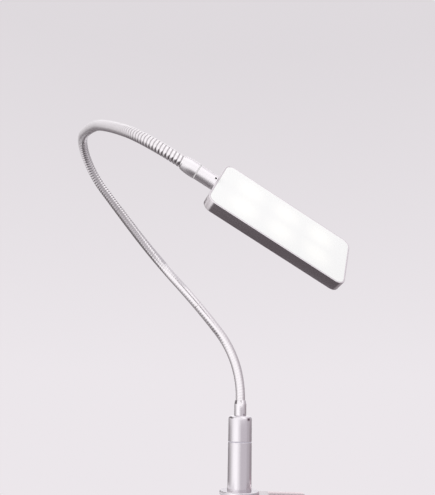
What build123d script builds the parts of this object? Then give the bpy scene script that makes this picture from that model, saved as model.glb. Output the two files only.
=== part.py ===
from build123d import *
import os
from math import radians, tan

# Clip-on reading lamp, in millimetres. The origin is the middle of the upper jaw pad's face. +Z is up,
# along the post, +X points to the clip's handles, and the reader looks along +Y.

# Driving dimensions: the clip
sheet = 1.5
pad_length = 26.0
pad_width = 33.0
pad_thick = 3.0
nose_width = 2.4
nose_groove = 0.6
nose_gap = 0.2
jaw_gap = 6.0
upper_arm_width = 39.5
arm_side_gap = 0.25
lip_reach = 2.5
sheet_bend = 2.6
arm_step = 6.0
step_back = 10.0
handle_reach = 62.5
corner_round = 7.0
pin_radius = 2.0
ear_radius = 5.0
spring_wire = 1.6
spring_radius = 4.4
spring_pitch = 2.0
spring_turns = 4
spring_runs = 12
spring_sides = 8
handle_drop = 26.0
upper_leg_rise = 18.0
lower_leg_drop = handle_drop
upper_leg = 22.0
lower_leg = 21.0

# Driving dimensions: the post, which stands on the clip
post_x = 30.0
post_radius = 11.0
flange_radius = 18.0
flange_thick = 3.2
flange_edge = 0.8
lower_post_height = 40.7
swivel_groove = 0.8
cap_height = 22.5
cap_shoulder = 2.6
ferrule_radius = 5.75
ferrule_height = 14.0
ferrule_taper = 3.5
stud_radius = 5.0
lead_bore = 3.0
plug_radius = 8.5
plug_height = 9.0
spigot_radius = 6.0
spigot_length = 12.5
ring_radius = 7.8
ring_thick = 1.0
spigot_wall = 10.2

# Driving dimensions: the neck, one (length, bend, side) for each stretch from the post to the head.
# The bend is in degrees, towards the direction that lies at the angle side round the neck.
neck_radius = 4.5
neck_sides = 16
neck_insert = 22.0
neck_stretches = [
    (70, 42, -160),
    (60, 7, 130),
    (70, 17, 75),
    (55, 14, -85),
    (80, 111, -70),
    (60, 15, -105),
    (60, 9, -45),
    (60, 57, -40),
]
neck_kink = 6.0
knuckle_taper = 74.3
knuckle_tip = 1.1
knuckle_gap = 0.15
knuckle_length = 1.4

# Driving dimensions: the head and its stem
head_turn = 180.0
bell_length = 11.5
bell_mouth_radius = 5.0
bell_taper = 5.0
bell_socket = 8.0
stem_groove = 0.6
stem_radius = 5.5
stem_length = 14.4
spindle_radius = 3.0
spindle_length = 6.4
stem_ring_radius = 4.2
stem_wall = 4.9
stem_bore = 4.5
stem_screw_angle = 22.0
stem_screw_inset = 1.4
screw_radius = 0.8
screw_sink = 0.15
head_length = 110.0
head_width = 53.0
head_thick = 7.5
head_corner = 7.0
back_edge = 0.8
rim = 1.3
panel_thick = 1.8
panel_ledge = 1.8
tray_floor = 1.8
board_thick = 1.0
led_size = 3.5
led_height = 0.8
led_pitch_long = 30.0
led_pitch_wide = 22.0

# Clearances: a fixed fit between pieces of one body, and a running fit between bodies
fixed_fit = 0.02
running_fit = 0.05

os.makedirs("parts", exist_ok=True)


def save(part, name):
    """Label a finished piece and write it to its own file."""
    part.label = name
    export_step(part, f"parts/{name}.step")


# Levels and places that follow from the driving dimensions
plate_top = pad_thick + sheet + arm_step
plate_bottom = plate_top - sheet
flange_top = plate_top + flange_thick
lower_post_top = flange_top + lower_post_height
cap_bottom = lower_post_top + swivel_groove
cap_top = cap_bottom + cap_height
neck_start = cap_top + ferrule_height
neck_foot = neck_start - neck_insert
hinge_x = post_x + 16
hinge_z = -jaw_gap / 2
handle_x = post_x + handle_reach
pad_front = -pad_length / 2
nose_front = pad_front - nose_groove - nose_width
tip_x = nose_front - sheet
lower_arm_width = upper_arm_width - 2 * (sheet + arm_side_gap)
post_axis = Axis((post_x, 0, 0), (0, 0, 1))
post_section = Plane((post_x, 0, 0), x_dir=(1, 0, 0), z_dir=(0, -1, 0))
pin_plane = Plane((hinge_x, 0, hinge_z), x_dir=(1, 0, 0), z_dir=(0, -1, 0))


# Upper arm: a pressed steel channel, with a curled tip, a step up to the post's seat, hinge ears and a
# handle end that is turned down
with BuildPart() as upper_arm:
    plate_middle = plate_top - sheet / 2
    pad_plate_middle = pad_thick + sheet / 2
    lip_end = pad_thick - lip_reach
    handle_lip_end = plate_bottom - lip_reach
    step_x = post_x - step_back
    step_foot_x = step_x - arm_step
    with BuildSketch(Plane.XZ):
        with BuildLine():
            FilletPolyline(
                (tip_x + sheet / 2, lip_end),
                (tip_x + sheet / 2, pad_plate_middle),
                (step_foot_x, pad_plate_middle),
                (step_x, plate_middle),
                (handle_x - sheet / 2, plate_middle),
                (handle_x - sheet / 2, handle_lip_end),
                radius=sheet_bend,
            )
        trace(line_width=sheet)
    extrude(amount=upper_arm_width / 2, both=True)
    with BuildSketch(Plane.XY):
        with Locations(((tip_x + handle_x) / 2, 0)):
            RectangleRounded(handle_x - tip_x, upper_arm_width, corner_round)
    extrude(amount=plate_top * 2, both=True, mode=Mode.INTERSECT)
    ear_bottom = hinge_z - ear_radius - sheet
    with BuildSketch(Plane.XZ.offset(-upper_arm_width / 2), Plane.XZ.offset(upper_arm_width / 2 - sheet)):
        with BuildLine():
            Polyline(
                (tip_x + corner_round, pad_plate_middle),
                (step_foot_x, pad_plate_middle),
                (step_x, plate_middle),
                (handle_x - corner_round, plate_middle),
                (handle_x - corner_round, handle_lip_end),
                (hinge_x + 3 * ear_radius, hinge_z + ear_radius / 3),
                (hinge_x + ear_radius, ear_bottom),
                (hinge_x - ear_radius, ear_bottom),
                (hinge_x - 2 * ear_radius, lip_end),
                (tip_x + corner_round, lip_end),
                close=True,
            )
        make_face()
        fillet(vertices().group_by(Axis.Y)[0], radius=ear_radius)
    extrude(amount=sheet)
    with Locations((post_x, 0, plate_top)):
        Hole(radius=stud_radius + fixed_fit)
    with BuildSketch(pin_plane):
        Circle(pin_radius + fixed_fit)
    extrude(amount=upper_arm_width, both=True, mode=Mode.SUBTRACT)
save(upper_arm.part, "upper_arm")


# Lower arm: the swinging jaw and handle, with ears that run inside the upper arm's ears
with BuildPart() as lower_arm:
    jaw_top = -jaw_gap - pad_thick
    jaw_middle = jaw_top - sheet / 2
    handle_run = handle_x - hinge_x
    ear_foot = 2 * ear_radius
    with BuildSketch(Plane.XZ):
        with BuildLine():
            handle_end = PolarLine((hinge_x, jaw_middle), handle_run, -handle_drop, mode=Mode.PRIVATE) @ 1
            FilletPolyline(
                (tip_x + sheet / 2, jaw_top + lip_reach),
                (tip_x + sheet / 2, jaw_middle),
                (hinge_x, jaw_middle),
                handle_end,
                radius=sheet_bend,
            )
        trace(line_width=sheet)
    extrude(amount=lower_arm_width / 2, both=True)
    with BuildSketch(Plane.XY):
        with Locations(((tip_x + handle_x) / 2, 0)):
            RectangleRounded(handle_x - tip_x, lower_arm_width, corner_round)
    extrude(amount=4 * handle_run, both=True, mode=Mode.INTERSECT)
    with BuildSketch(Plane.XZ.offset(-lower_arm_width / 2), Plane.XZ.offset(lower_arm_width / 2 - sheet)):
        with BuildLine():
            Polyline(
                (hinge_x - ear_foot, jaw_middle),
                (hinge_x - ear_radius, hinge_z + ear_radius),
                (hinge_x + ear_radius, hinge_z + ear_radius),
                (hinge_x + ear_foot, jaw_middle - ear_foot * tan(radians(handle_drop))),
                (hinge_x, jaw_middle),
                close=True,
            )
        make_face()
        fillet(vertices().group_by(Axis.Y)[-1], radius=ear_radius * 0.9)
    extrude(amount=sheet)
    with BuildSketch(pin_plane):
        Circle(pin_radius + running_fit)
    extrude(amount=upper_arm_width, both=True, mode=Mode.SUBTRACT)
save(lower_arm.part, "lower_arm")


# Hinge pin: a rivet through both pairs of ears
with BuildPart() as hinge_pin:
    rivet_head = 1.2
    with BuildSketch(pin_plane):
        Circle(pin_radius)
    head_base = upper_arm_width / 2
    extrude(amount=head_base + rivet_head, both=True)
    with BuildSketch(pin_plane.offset(head_base), pin_plane.offset(-head_base - rivet_head)):
        Circle(pin_radius * 1.7)
    extrude(amount=rivet_head)
save(hinge_pin.part, "hinge_pin")


# Clip spring: a torsion spring, coiled round the hinge pin, with one leg under each handle
with BuildPart() as spring_at_origin:
    turn_share = spring_turns + (180 - upper_leg_rise - lower_leg_drop) / 360
    coil_width = spring_pitch * turn_share
    coil_runs = round(turn_share * spring_runs)
    with BuildLine() as wire_line:
        coil = Helix(spring_pitch, coil_width, spring_radius, mode=Mode.PRIVATE)
        upper_leg_end = coil @ 0 - (coil % 0) * upper_leg
        lower_leg_end = coil @ 1 + (coil % 1) * lower_leg
        Polyline(upper_leg_end, *[coil @ (k / coil_runs) for k in range(coil_runs + 1)], lower_leg_end)
    with BuildSketch(Plane(upper_leg_end, x_dir=(1, 0, 0), z_dir=coil % 0)):
        RegularPolygon(spring_wire / 2, spring_sides)
    sweep(path=wire_line.wires()[0], transition=Transition.RIGHT)
spring_foot = Plane(
    (hinge_x, coil_width / 2, hinge_z),
    x_dir=Vector(0, 0, 1).rotate(Axis((0, 0, 0), (0, -1, 0)), upper_leg_rise),
    z_dir=(0, -1, 0),
)
clip_spring = spring_at_origin.part.moved(spring_foot.location)
save(clip_spring, "clip_spring")


# Jaw pads: moulded rubber, each with a flat gripping face and a nose that meets the other pad's nose
def jaw_pad(back, face, nose_end):
    """A pad that lies on an arm at height back, with its flat face and its nose's end at these heights."""
    inner = (2 * face + back) / 3
    with BuildPart() as pad:
        with BuildSketch(Plane.XZ):
            with BuildLine():
                Polyline(
                    (nose_front, back),
                    (-pad_front, back),
                    (-pad_front, face),
                    (pad_front, face),
                    (pad_front, inner),
                    (pad_front - nose_groove, inner),
                    (pad_front - nose_groove, nose_end),
                    (nose_front, nose_end),
                    close=True,
                )
            make_face()
            fillet(vertices().sort_by_distance((nose_front, nose_end))[:2], radius=nose_width / 3)
            fillet(vertices().sort_by_distance((nose_front, back))[0], radius=sheet_bend)
        extrude(amount=pad_width / 2, both=True)
    return pad.part


save(jaw_pad(pad_thick, 0, hinge_z + nose_gap / 2), "upper_pad")
save(jaw_pad(jaw_top, -jaw_gap, hinge_z - nose_gap / 2), "lower_pad")


# Flange: the post's round foot, turned in one piece with the plug that fills the post's lower end
with BuildPart() as flange:
    with BuildSketch(post_section):
        with BuildLine():
            Polyline(
                (stud_radius + fixed_fit, plate_top),
                (flange_radius, plate_top),
                (flange_radius, flange_top - flange_edge),
                (flange_radius - flange_edge, flange_top),
                (plug_radius - fixed_fit, flange_top),
                (plug_radius - fixed_fit, flange_top + plug_height),
                (stud_radius + fixed_fit, flange_top + plug_height),
                close=True,
            )
        make_face()
    revolve(axis=post_axis)
save(flange.part, "flange")


# Stud and nut: a hollow threaded nipple that clamps the flange to the arm and lets the lead out
nut_height = 4.0
nut_flats = 16.0
nut_bottom = plate_bottom - nut_height

with BuildPart() as post_stud:
    with BuildSketch(Plane.XY.offset(nut_bottom - sheet / 2)):
        with Locations((post_x, 0)):
            Circle(stud_radius)
            Circle(lead_bore, mode=Mode.SUBTRACT)
    extrude(amount=flange_top + plug_height - nut_bottom + sheet / 2)
save(post_stud.part, "post_stud")

with BuildPart() as post_nut:
    with BuildSketch(Plane.XY.offset(nut_bottom)):
        with Locations((post_x, 0)):
            RegularPolygon(nut_flats / 2, 6, major_radius=False, rotation=30)
            Circle(stud_radius + fixed_fit, mode=Mode.SUBTRACT)
    extrude(amount=nut_height)
save(post_nut.part, "post_nut")


# Lower post: a turned tube, with a wall at its top that the cap's spigot runs in
with BuildPart() as lower_post:
    with BuildSketch(post_section):
        with BuildLine():
            Polyline(
                (plug_radius, flange_top),
                (post_radius, flange_top),
                (post_radius, lower_post_top),
                (spigot_radius + running_fit, lower_post_top),
                (spigot_radius + running_fit, lower_post_top - spigot_wall),
                (plug_radius, lower_post_top - spigot_wall),
                close=True,
            )
        make_face()
    revolve(axis=post_axis)
save(lower_post.part, "lower_post")


# Friction washer: the dark ring in the groove between post and cap
with BuildPart() as friction_washer:
    with BuildSketch(Plane.XY.offset(lower_post_top)):
        with Locations((post_x, 0)):
            Circle(post_radius - swivel_groove)
            Circle(spigot_radius + 2 * running_fit, mode=Mode.SUBTRACT)
    extrude(amount=swivel_groove - fixed_fit)
save(friction_washer.part, "friction_washer")


# Post cap: the turning top of the post, with the spigot that runs in the post and a socket for the neck
with BuildPart() as post_cap:
    with BuildSketch(post_section):
        with BuildLine():
            Polyline(
                (lead_bore, cap_bottom - spigot_length),
                (spigot_radius, cap_bottom - spigot_length),
                (spigot_radius, cap_bottom),
                (post_radius, cap_bottom),
                (post_radius, cap_top - cap_shoulder),
                (post_radius - cap_shoulder, cap_top),
                (neck_radius + fixed_fit, cap_top),
                (neck_radius + fixed_fit, neck_foot),
                (lead_bore, neck_foot),
                close=True,
            )
        make_face()
    revolve(axis=post_axis)
save(post_cap.part, "post_cap")


# Retaining ring: pushed on to the end of the spigot, below the post's inner wall
with BuildPart() as retaining_ring:
    with BuildSketch(Plane.XY.offset(cap_bottom - spigot_length)):
        with Locations((post_x, 0)):
            Circle(ring_radius)
            Circle(spigot_radius + fixed_fit, mode=Mode.SUBTRACT)
    extrude(amount=ring_thick)
save(retaining_ring.part, "retaining_ring")


# Base ferrule: the sleeve round the neck's lower end, seated on the cap
with BuildPart() as base_ferrule:
    with BuildSketch(post_section):
        with BuildLine():
            Polyline(
                (neck_radius + fixed_fit, cap_top),
                (ferrule_radius, cap_top),
                (ferrule_radius, neck_start - ferrule_taper),
                (bell_mouth_radius, neck_start),
                (neck_radius + fixed_fit, neck_start),
                close=True,
            )
        make_face()
    revolve(axis=post_axis)
save(base_ferrule.part, "base_ferrule")


# Neck: each stretch bends along a circular arc in short straight runs, as the turns of a wound hose do.
# Its ends taper, so that it can swing about the next one's end.
def bend_point(point, axis, angle):
    """A point carried round an axis by an angle."""
    arm = point - axis.position
    return axis.position + arm.rotate(Axis((0, 0, 0), axis.direction), angle)


def bend_of(start, length, bend, side):
    """The axis that an arc turns about, and the plane at its far end."""
    towards = start.x_dir.rotate(Axis(start.origin, start.z_dir), side)
    radius = length / radians(bend)
    axis = Axis(start.origin + towards * radius, start.z_dir.cross(towards))
    end = Plane(
        axis.position - towards.rotate(axis, bend) * radius,
        x_dir=start.x_dir.rotate(axis, bend),
        z_dir=start.z_dir.rotate(axis, bend),
    )
    return axis, end


with BuildPart() as knuckle:
    with BuildSketch():
        RegularPolygon(neck_radius, neck_sides)
    extrude(amount=knuckle_tip, taper=knuckle_taper)

joint_plane = Plane((post_x, 0, neck_start))
for number, (length, bend, side) in enumerate(neck_stretches, start=1):
    arc_start = joint_plane.offset(knuckle_length)
    arc_axis, arc_end = bend_of(arc_start, length - 2 * knuckle_length, bend, side)
    runs = max(2, round(bend / neck_kink))
    arc_points = [bend_point(arc_start.origin, arc_axis, bend * k / runs) for k in range(runs + 1)]
    is_first = number == 1
    is_last = number == len(neck_stretches)
    tip_room = knuckle_gap + knuckle_tip
    foot = joint_plane.offset(-neck_insert if is_first else tip_room)
    top = arc_end.offset(knuckle_length + (bell_socket if is_last else -tip_room))
    with BuildPart() as stretch:
        with BuildLine() as centre_line:
            Polyline(foot.origin, *arc_points, top.origin)
        with BuildSketch(foot):
            RegularPolygon(neck_radius, neck_sides)
        sweep(path=centre_line.wires()[0], transition=Transition.RIGHT)
        tip_planes = ([] if is_first else [-foot]) + ([] if is_last else [top])
        with Locations(*tip_planes):
            add(knuckle.part)
    save(stretch.part, f"neck_{number}")
    joint_plane = arc_end.offset(knuckle_length)


# Planes of the stem and the head, from the neck's upper end: width, thickness and length directions
stem_base = Plane(
    joint_plane.origin,
    x_dir=joint_plane.x_dir.rotate(Axis(joint_plane.origin, joint_plane.z_dir), head_turn),
    z_dir=joint_plane.z_dir,
)
stem_axis = Axis(stem_base.origin, stem_base.z_dir)
stem_section = Plane(stem_base.origin, x_dir=stem_base.x_dir, z_dir=-stem_base.y_dir)
stem_top = bell_length + stem_groove + stem_length
head_middle = Plane(
    stem_base.offset(stem_top + head_length / 2).origin,
    x_dir=stem_base.z_dir,
    z_dir=-stem_base.y_dir,
)
lit_face = head_middle.offset(head_thick / 2)


# Head ferrule: a bell-shaped sleeve on the neck's upper end, turned with the spindle of the head's swivel
spindle_end = bell_length + stem_groove + spindle_length
with BuildPart() as head_ferrule:
    with BuildSketch(stem_section):
        with BuildLine():
            Polyline(
                (neck_radius + fixed_fit, 0),
                (bell_mouth_radius, 0),
                (ferrule_radius, bell_taper),
                (ferrule_radius, bell_length),
                (spindle_radius, bell_length),
                (spindle_radius, spindle_end),
                (0, spindle_end),
                (0, bell_socket),
                (neck_radius + fixed_fit, bell_socket),
                close=True,
            )
        make_face()
    revolve(axis=stem_axis)
save(head_ferrule.part, "head_ferrule")


# Stem washer: the white ring between the bell and the barrel
with BuildPart() as stem_washer:
    with BuildSketch(stem_base.offset(bell_length)):
        Circle(stem_radius - 0.2)
        Circle(spindle_radius + 2 * running_fit, mode=Mode.SUBTRACT)
    extrude(amount=stem_groove - fixed_fit)
save(stem_washer.part, "stem_washer")


# Stem ring: pushed on to the spindle's end, so that the barrel stays on it
with BuildPart() as stem_ring:
    with BuildSketch(stem_base.offset(spindle_end - ring_thick)):
        Circle(stem_ring_radius)
        Circle(spindle_radius + fixed_fit, mode=Mode.SUBTRACT)
    extrude(amount=ring_thick)
save(stem_ring.part, "stem_ring")


# Stem barrel: turns on the spindle with the head, and takes the head's stud at its far end
stem_shoulder = bell_length + stem_groove + stem_wall
screw_direction = (-stem_base.y_dir).rotate(stem_axis, stem_screw_angle)
screw_plane = Plane(
    stem_base.offset(stem_top - stem_screw_inset).origin,
    x_dir=stem_base.z_dir,
    z_dir=screw_direction,
)
with BuildPart() as stem_barrel:
    with BuildSketch(stem_section):
        with BuildLine():
            Polyline(
                (spindle_radius + running_fit, bell_length + stem_groove),
                (stem_radius, bell_length + stem_groove),
                (stem_radius, stem_top),
                (stem_bore, stem_top),
                (stem_bore, stem_shoulder),
                (spindle_radius + running_fit, stem_shoulder),
                close=True,
            )
        make_face()
    revolve(axis=stem_axis)
    with BuildSketch(screw_plane):
        Circle(screw_radius + fixed_fit)
    extrude(amount=stem_radius, mode=Mode.SUBTRACT)
save(stem_barrel.part, "stem_barrel")


# Stem screw: a socket grub screw that locks the barrel to the stud
with BuildPart() as stem_screw:
    with BuildSketch(screw_plane.offset(stem_bore)):
        Circle(screw_radius)
    extrude(amount=stem_radius - stem_bore - screw_sink)
    with BuildSketch(screw_plane.offset(stem_radius)):
        RegularPolygon(screw_radius / 2, 6)
    extrude(amount=-2 * screw_sink, mode=Mode.SUBTRACT)
save(stem_screw.part, "stem_screw")


# Head stud: a plug in the barrel and a threaded end in the housing
stud_plug_length = 6.0
stud_thread_radius = 1.5
stud_thread_length = 9.0
with BuildPart() as head_stud:
    with BuildSketch(stem_base.offset(stem_top - stud_plug_length)):
        Circle(stem_bore - fixed_fit)
    extrude(amount=stud_plug_length)
    with BuildSketch(stem_base.offset(stem_top)):
        Circle(stud_thread_radius)
    extrude(amount=stud_thread_length)
save(head_stud.part, "head_stud")


# Head housing: a shallow aluminium tray with a ledge for the panel and a boss for the stud
boss_length = 12.0
boss_width = 11.0
board_length = 88.0
board_width = 42.0
board_centre = (head_length - board_length) / 2 - rim - 3
tray_depth = head_thick - tray_floor
with BuildPart() as head_housing:
    with BuildSketch(head_middle.offset(-head_thick / 2)):
        RectangleRounded(head_length, head_width, head_corner)
    extrude(amount=head_thick)
    back_edges = faces().sort_by(Axis(head_middle.origin, head_middle.z_dir))[0].edges()
    chamfer(back_edges, length=back_edge)
    with BuildSketch(lit_face):
        RectangleRounded(head_length - 2 * rim, head_width - 2 * rim, head_corner - rim)
    extrude(amount=-panel_thick, mode=Mode.SUBTRACT)
    wall = rim + panel_ledge
    with BuildSketch(lit_face):
        RectangleRounded(head_length - 2 * wall, head_width - 2 * wall, head_corner - wall)
        with Locations((wall + boss_length / 2 - head_length / 2, 0)):
            Rectangle(boss_length, boss_width, mode=Mode.SUBTRACT)
    extrude(amount=-tray_depth, mode=Mode.SUBTRACT)
    with BuildSketch(stem_base.offset(stem_top)):
        Circle(stud_thread_radius + fixed_fit)
    extrude(amount=stud_thread_length, mode=Mode.SUBTRACT)
save(head_housing.part, "head_housing")


# LED board: the metal-cored circuit board, bonded to the tray's floor
board_back = head_middle.offset(tray_floor - head_thick / 2)
board_face = board_back.offset(board_thick)
with BuildPart() as led_board:
    with BuildSketch(board_back):
        with Locations((board_centre, 0)):
            Rectangle(board_length, board_width)
    extrude(amount=board_thick)
save(led_board.part, "led_board")


# LEDs: two rows of three, soldered to the board
with BuildPart() as leds:
    with BuildSketch(board_face):
        with GridLocations(led_pitch_long, led_pitch_wide, 3, 2):
            Rectangle(led_size, led_size)
    extrude(amount=led_height)
save(leds.part, "leds")


# Diffuser: the opal panel that fills the tray's mouth, flush with its rim
with BuildPart() as diffuser:
    with BuildSketch(lit_face.offset(-panel_thick)):
        panel_fit = rim + running_fit
        RectangleRounded(head_length - 2 * panel_fit, head_width - 2 * panel_fit, head_corner - panel_fit)
    extrude(amount=panel_thick)
save(diffuser.part, "diffuser")
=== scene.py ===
from math import ceil, cos, pi, radians, sin, tan

import bmesh
import bpy
from mathutils import Matrix, Vector


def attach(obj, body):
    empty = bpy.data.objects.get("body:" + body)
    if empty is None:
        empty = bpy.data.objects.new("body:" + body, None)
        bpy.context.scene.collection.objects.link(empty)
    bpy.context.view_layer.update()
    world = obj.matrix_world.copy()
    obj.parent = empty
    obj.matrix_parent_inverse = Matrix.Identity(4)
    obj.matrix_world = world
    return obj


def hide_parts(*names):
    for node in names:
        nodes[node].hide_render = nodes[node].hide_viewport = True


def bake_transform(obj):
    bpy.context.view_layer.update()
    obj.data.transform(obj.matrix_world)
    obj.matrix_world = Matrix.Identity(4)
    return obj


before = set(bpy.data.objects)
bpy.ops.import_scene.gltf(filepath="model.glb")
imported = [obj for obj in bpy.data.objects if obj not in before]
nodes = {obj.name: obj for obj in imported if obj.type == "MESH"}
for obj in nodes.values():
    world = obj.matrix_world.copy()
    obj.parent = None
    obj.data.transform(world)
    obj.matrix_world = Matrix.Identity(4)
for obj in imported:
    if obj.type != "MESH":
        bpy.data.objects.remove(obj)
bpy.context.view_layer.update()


# Clip arms: pressed from steel sheet and nickel plated, the upper one with side walls and hinge ears.
# Each keeps its pressed outline, with the edges broken as a tumbled pressing has them.
mm = 0.001
pressed_edge = 0.25 * mm


def satin_group():
    """Fine grain and slow smudges over a surface, as values for roughness, height and shade."""
    group = bpy.data.node_groups.new("satin surface", "ShaderNodeTree")
    face = group.interface
    face.new_socket("Place", in_out="INPUT", socket_type="NodeSocketVector")
    for name, value in (("Grain", 800.0), ("Middle", 0.3), ("Spread", 0.1)):
        face.new_socket(name, in_out="INPUT", socket_type="NodeSocketFloat").default_value = value
    for name in ("Roughness", "Height", "Smudge"):
        face.new_socket(name, in_out="OUTPUT", socket_type="NodeSocketFloat")
    start = group.nodes.new("NodeGroupInput")
    end = group.nodes.new("NodeGroupOutput")
    grain = group.nodes.new("ShaderNodeTexNoise")
    grain.inputs["Detail"].default_value = 3
    smudge = group.nodes.new("ShaderNodeTexNoise")
    smudge.inputs["Scale"].default_value = 45
    smudge.inputs["Detail"].default_value = 2
    both = group.nodes.new("ShaderNodeMath")
    both.operation = "ADD"
    centred = group.nodes.new("ShaderNodeMath")
    centred.operation = "SUBTRACT"
    centred.inputs[1].default_value = 1
    rough = group.nodes.new("ShaderNodeMath")
    rough.operation = "MULTIPLY_ADD"
    group.links.new(start.outputs["Place"], grain.inputs["Vector"])
    group.links.new(start.outputs["Place"], smudge.inputs["Vector"])
    group.links.new(start.outputs["Grain"], grain.inputs["Scale"])
    group.links.new(grain.outputs["Fac"], both.inputs[0])
    group.links.new(smudge.outputs["Fac"], both.inputs[1])
    group.links.new(both.outputs[0], centred.inputs[0])
    group.links.new(centred.outputs[0], rough.inputs[0])
    group.links.new(start.outputs["Spread"], rough.inputs[1])
    group.links.new(start.outputs["Middle"], rough.inputs[2])
    group.links.new(rough.outputs[0], end.inputs["Roughness"])
    group.links.new(grain.outputs["Fac"], end.inputs["Height"])
    group.links.new(smudge.outputs["Fac"], end.inputs["Smudge"])
    return group


satin = satin_group()


def satin_material(name, light, dark, metallic, roughness, grain, stretch, bump, turning=False):
    """A material with satin grain. The grain follows the turning lines on a turned piece."""
    material = bpy.data.materials.new(name)
    material.use_nodes = True
    tree = material.node_tree
    surface = tree.nodes["Principled BSDF"]
    surface.inputs["Metallic"].default_value = metallic
    if turning:
        place = tree.nodes.new("ShaderNodeAttribute")
        place.attribute_name = "turning"
        place_out = place.outputs["Vector"]
    else:
        place_out = tree.nodes.new("ShaderNodeTexCoord").outputs["Object"]
    mapping = tree.nodes.new("ShaderNodeMapping")
    mapping.inputs["Scale"].default_value = stretch
    finish = tree.nodes.new("ShaderNodeGroup")
    finish.node_tree = satin
    finish.inputs["Grain"].default_value = grain
    finish.inputs["Middle"].default_value = roughness
    finish.inputs["Spread"].default_value = roughness * 0.35
    shade = tree.nodes.new("ShaderNodeMix")
    shade.data_type = "RGBA"
    shade.inputs["A"].default_value = (*light, 1)
    shade.inputs["B"].default_value = (*dark, 1)
    height = tree.nodes.new("ShaderNodeBump")
    height.inputs["Strength"].default_value = 0.25
    height.inputs["Distance"].default_value = bump
    tree.links.new(place_out, mapping.inputs["Vector"])
    tree.links.new(mapping.outputs["Vector"], finish.inputs["Place"])
    tree.links.new(finish.outputs["Roughness"], surface.inputs["Roughness"])
    tree.links.new(finish.outputs["Smudge"], shade.inputs["Factor"])
    tree.links.new(shade.outputs["Result"], surface.inputs["Base Color"])
    tree.links.new(finish.outputs["Height"], height.inputs["Height"])
    tree.links.new(height.outputs["Normal"], surface.inputs["Normal"])
    return material


def add_piece(name, mesh, sharp=35):
    """A new piece from a mesh, smooth apart from its sharp edges."""
    piece = bpy.data.objects.new(name, mesh)
    bpy.context.scene.collection.objects.link(piece)
    mesh.shade_smooth()
    mesh.set_sharp_from_angle(angle=radians(sharp))
    return piece


def softened(node, name, edge):
    """A piece with the node's own shape, with its edges broken by a small bevel."""
    shape = bmesh.new()
    shape.from_mesh(nodes[node].data)
    bmesh.ops.remove_doubles(shape, verts=shape.verts, dist=0.002 * mm)
    bmesh.ops.dissolve_limit(shape, angle_limit=radians(0.5), verts=shape.verts, edges=shape.edges)
    mesh = bpy.data.meshes.new(name)
    shape.to_mesh(mesh)
    shape.free()
    mesh.materials.clear()
    piece = add_piece(name, mesh)
    bevel = piece.modifiers.new("broken edge", "BEVEL")
    bevel.width = edge
    bevel.segments = 2
    bevel.limit_method = "ANGLE"
    bevel.angle_limit = radians(35)
    bevel.harden_normals = True
    return piece


def fitted(piece, body, slot, material, *replaced):
    """Paint a piece and fix it to the body that carries it, in place of these nodes."""
    if material.name not in piece.data.materials:
        piece.data.materials.append(material)
    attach(piece, body)
    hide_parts(*replaced)


def painted(node, material):
    """Give a node that keeps its own shape its material."""
    nodes[node].data.materials.clear()
    nodes[node].data.materials.append(material)


nickel = satin_material(
    "nickel plated steel", (0.74, 0.7, 0.71), (0.66, 0.61, 0.63), 1.0, 0.3, 500, (0.25, 1.6, 1.6), 0.00002
)
fitted(softened("upper_arm", "upper_clip_arm", pressed_edge), "clip", "clip_steel", nickel, "upper_arm")
fitted(softened("lower_arm", "lower_clip_arm", pressed_edge), "jaw", "clip_steel", nickel, "lower_arm")


# Hinge rivet: a steel pin, turned with one round head and zinc plated. It passes through the ears of both
# arms and is peened over at its other end.
def eased(profile):
    """The points of a turned profile. An entry (radius, height, ease) has its corner rounded."""
    points = []
    count = len(profile)
    for k, entry in enumerate(profile):
        corner = Vector(entry[:2])
        ease = entry[2] if len(entry) > 2 else 0
        if not ease:
            points.append(corner)
            continue
        back = (Vector(profile[k - 1][:2]) - corner).normalized()
        ahead = (Vector(profile[(k + 1) % count][:2]) - corner).normalized()
        half = back.angle(ahead) / 2
        middle = corner + (back + ahead).normalized() * ease / sin(half)
        first = corner + back * ease / tan(half) - middle
        last = corner + ahead * ease / tan(half) - middle
        for step in range(7):
            share = step / 6
            points.append(middle + first.slerp(last, share) * ease)
    return points


def turned(name, profile, place, sides=96):
    """A turned piece: a closed profile in millimetres, spun about the z axis of place."""
    points = eased(profile)
    shape = bmesh.new()
    turning = shape.verts.layers.float_vector.new("turning")
    rings = []
    for k in range(sides):
        angle = 2 * pi * k / sides
        ring = []
        for point in points:
            spot = Vector((point.x * cos(angle), point.x * sin(angle), point.y)) * mm
            vert = shape.verts.new(place @ spot)
            vert[turning] = (point.y * mm, point.x * mm, 0)
            ring.append(vert)
        rings.append(ring)
    for k in range(sides):
        near = rings[k]
        far = rings[(k + 1) % sides]
        for j in range(len(points)):
            i = (j + 1) % len(points)
            shape.faces.new((near[j], far[j], far[i], near[i]))
    bmesh.ops.remove_doubles(shape, verts=shape.verts, dist=0.002 * mm)
    bmesh.ops.recalc_face_normals(shape, faces=shape.faces)
    mesh = bpy.data.meshes.new(name)
    shape.to_mesh(mesh)
    shape.free()
    return add_piece(name, mesh)


zinc = satin_material(
    "zinc plated steel", (0.72, 0.72, 0.7), (0.6, 0.61, 0.62), 1.0, 0.27, 700, (1, 1, 1), 0.00001
)
hinge = Vector((46, 0, -3)) * mm
pin_place = Matrix.Translation(hinge) @ Matrix.Rotation(radians(90), 4, "X")
pin_radius = 2
rivet_head = 3.4
rivet_dome = 0.9
ear_face = 19.75
rivet_end = 20.95
rivet = [
    (0, -rivet_end),
    (rivet_head, -rivet_end, rivet_dome),
    (rivet_head, -ear_face),
    (pin_radius, -ear_face),
    (pin_radius, ear_face),
    (rivet_head, ear_face),
    (rivet_head, rivet_end, rivet_dome),
    (0, rivet_end),
]
fitted(turned("hinge_rivet", rivet, pin_place, 48), "clip", "fixing_steel", zinc, "hinge_pin")


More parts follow.
